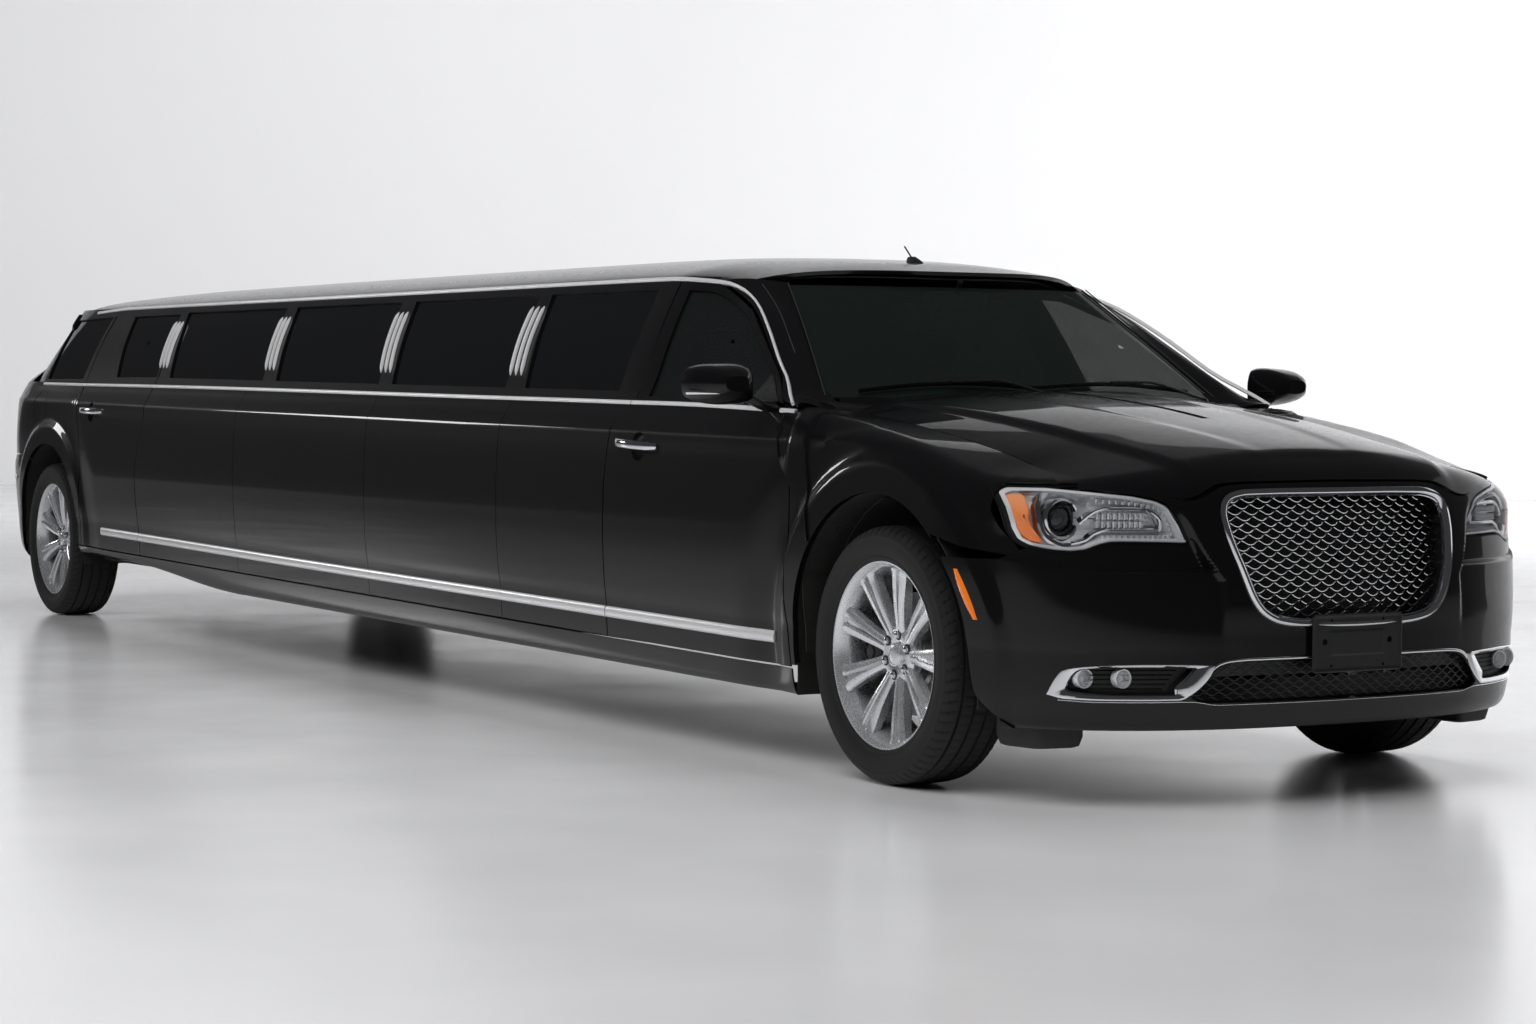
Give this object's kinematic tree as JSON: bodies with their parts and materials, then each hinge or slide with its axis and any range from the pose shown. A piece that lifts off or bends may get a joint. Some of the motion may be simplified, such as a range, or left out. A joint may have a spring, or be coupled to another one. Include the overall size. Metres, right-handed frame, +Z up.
{
  "type": "stretch limousine",
  "caption": "Long-wheelbase black sedan limousine with a stretched lounge section, hinged doors, steered front wheels, opening bonnet and boot lid.",
  "frame": {"origin": "on the ground under the middle of the whole car's box", "axes": "+X forward along the car, +Y to the car's left, +Z up"},
  "size_m": [9.333, 2.2, 1.5598],
  "materials": {
    "body_paint": "deep gloss black paint",
    "window_glass": "dark tinted glass",
    "clear_glass": "clear windscreen glass",
    "lamp_glass": "clear lamp lens",
    "tail_glass": "red lamp lens",
    "grille_chrome": "bright chrome",
    "rim_alloy": "polished bright alloy",
    "tyre_rubber": "black rubber",
    "black_plastic": "satin black plastic",
    "chassis_steel": "dark coated steel",
    "exhaust_steel": "stained steel",
    "cast_metal": "cast aluminium",
    "trim_leather": "black leather"
  },
  "bodies": {
    "car_body": {"body_side_left": "body_paint", "body_side_right": "body_paint", "front_wing_left": "body_paint", "front_wing_right": "body_paint", "quarter_left": "body_paint", "quarter_right": "body_paint", "roof_panel": "body_paint", "front_bumper": "body_paint", "rear_bumper": "body_paint", "rear_deck": "body_paint", "side_glass": "window_glass", "rear_window": "window_glass", "windscreen": "clear_glass", "headlamps": "lamp_glass", "fog_lamps": "lamp_glass", "tail_lamps": "tail_glass", "grille": "grille_chrome", "cowl": "black_plastic", "lower_intake": "black_plastic", "plate_bracket": "black_plastic", "dashboard": "black_plastic", "partition": "black_plastic", "roof_antenna": "black_plastic", "wheel_housings": "black_plastic", "floor_pan": "chassis_steel", "front_subframe": "chassis_steel", "rear_axle": "chassis_steel", "propshaft": "chassis_steel", "exhaust": "exhaust_steel", "engine_block": "cast_metal", "front_seats": "trim_leather", "lounge_seats": "trim_leather"},
    "front_door_left": {"door_front_left": "body_paint", "door_glass_front_left": "window_glass", "mirror_left": "body_paint"},
    "rear_door_left": {"door_rear_left": "body_paint", "door_glass_rear_left": "window_glass"},
    "steering_left": {"knuckle_left": "chassis_steel"},
    "wheel_front_left": {"rim_front_left": "rim_alloy", "tyre_front_left": "tyre_rubber"},
    "wheel_rear_left": {"rim_rear_left": "rim_alloy", "tyre_rear_left": "tyre_rubber"},
    "front_door_right": {"door_front_right": "body_paint", "door_glass_front_right": "window_glass", "mirror_right": "body_paint"},
    "rear_door_right": {"door_rear_right": "body_paint", "door_glass_rear_right": "window_glass"},
    "steering_right": {"knuckle_right": "chassis_steel"},
    "wheel_front_right": {"rim_front_right": "rim_alloy", "tyre_front_right": "tyre_rubber"},
    "wheel_rear_right": {"rim_rear_right": "rim_alloy", "tyre_rear_right": "tyre_rubber"},
    "bonnet": {"bonnet": "body_paint"},
    "boot_lid": {"boot_lid": "body_paint"}
  },
  "joints": [
    {"name": "steer_left", "type": "hinge", "parent": "car_body", "child": "steering_left", "pos_m": [3.746, 0.735, 0.36], "axis": [0, 0, 1], "range_deg": [-34, 34]},
    {"name": "wheel_front_left_spin", "type": "hinge", "parent": "steering_left", "child": "wheel_front_left", "pos_m": [3.746, 0.815, 0.36], "axis": [0, 1, 0], "continuous": true},
    {"name": "wheel_rear_left_spin", "type": "hinge", "parent": "car_body", "child": "wheel_rear_left", "pos_m": [-3.564, 0.815, 0.36], "axis": [0, 1, 0], "continuous": true},
    {"name": "front_door_left_hinge", "type": "hinge", "parent": "car_body", "child": "front_door_left", "pos_m": [3.329, 0.951, 0.6], "axis": [0, 0, -1], "range_deg": [0, 62]},
    {"name": "rear_door_left_hinge", "type": "hinge", "parent": "car_body", "child": "rear_door_left", "pos_m": [-2.224, 0.951, 0.6], "axis": [0, 0, -1], "range_deg": [0, 62]},
    {"name": "steer_right", "type": "hinge", "parent": "car_body", "child": "steering_right", "pos_m": [3.746, -0.735, 0.36], "axis": [0, 0, 1], "range_deg": [-34, 34]},
    {"name": "wheel_front_right_spin", "type": "hinge", "parent": "steering_right", "child": "wheel_front_right", "pos_m": [3.746, -0.815, 0.36], "axis": [0, 1, 0], "continuous": true},
    {"name": "wheel_rear_right_spin", "type": "hinge", "parent": "car_body", "child": "wheel_rear_right", "pos_m": [-3.564, -0.815, 0.36], "axis": [0, 1, 0], "continuous": true},
    {"name": "front_door_right_hinge", "type": "hinge", "parent": "car_body", "child": "front_door_right", "pos_m": [3.329, -0.951, 0.6], "axis": [0, 0, 1], "range_deg": [0, 62]},
    {"name": "rear_door_right_hinge", "type": "hinge", "parent": "car_body", "child": "rear_door_right", "pos_m": [-2.224, -0.951, 0.6], "axis": [0, 0, 1], "range_deg": [0, 62]},
    {"name": "bonnet_hinge", "type": "hinge", "parent": "car_body", "child": "bonnet", "pos_m": [3.246, 0, 1.086], "axis": [0, -1, 0], "range_deg": [0, 48]},
    {"name": "boot_lid_hinge", "type": "hinge", "parent": "car_body", "child": "boot_lid", "pos_m": [-4.424, 0, 1.112], "axis": [0, 1, 0], "range_deg": [0, 75]}
  ],
  "couplings": [
    {"joint": "steer_right", "follows": "steer_left", "ratio": 1}
  ]
}
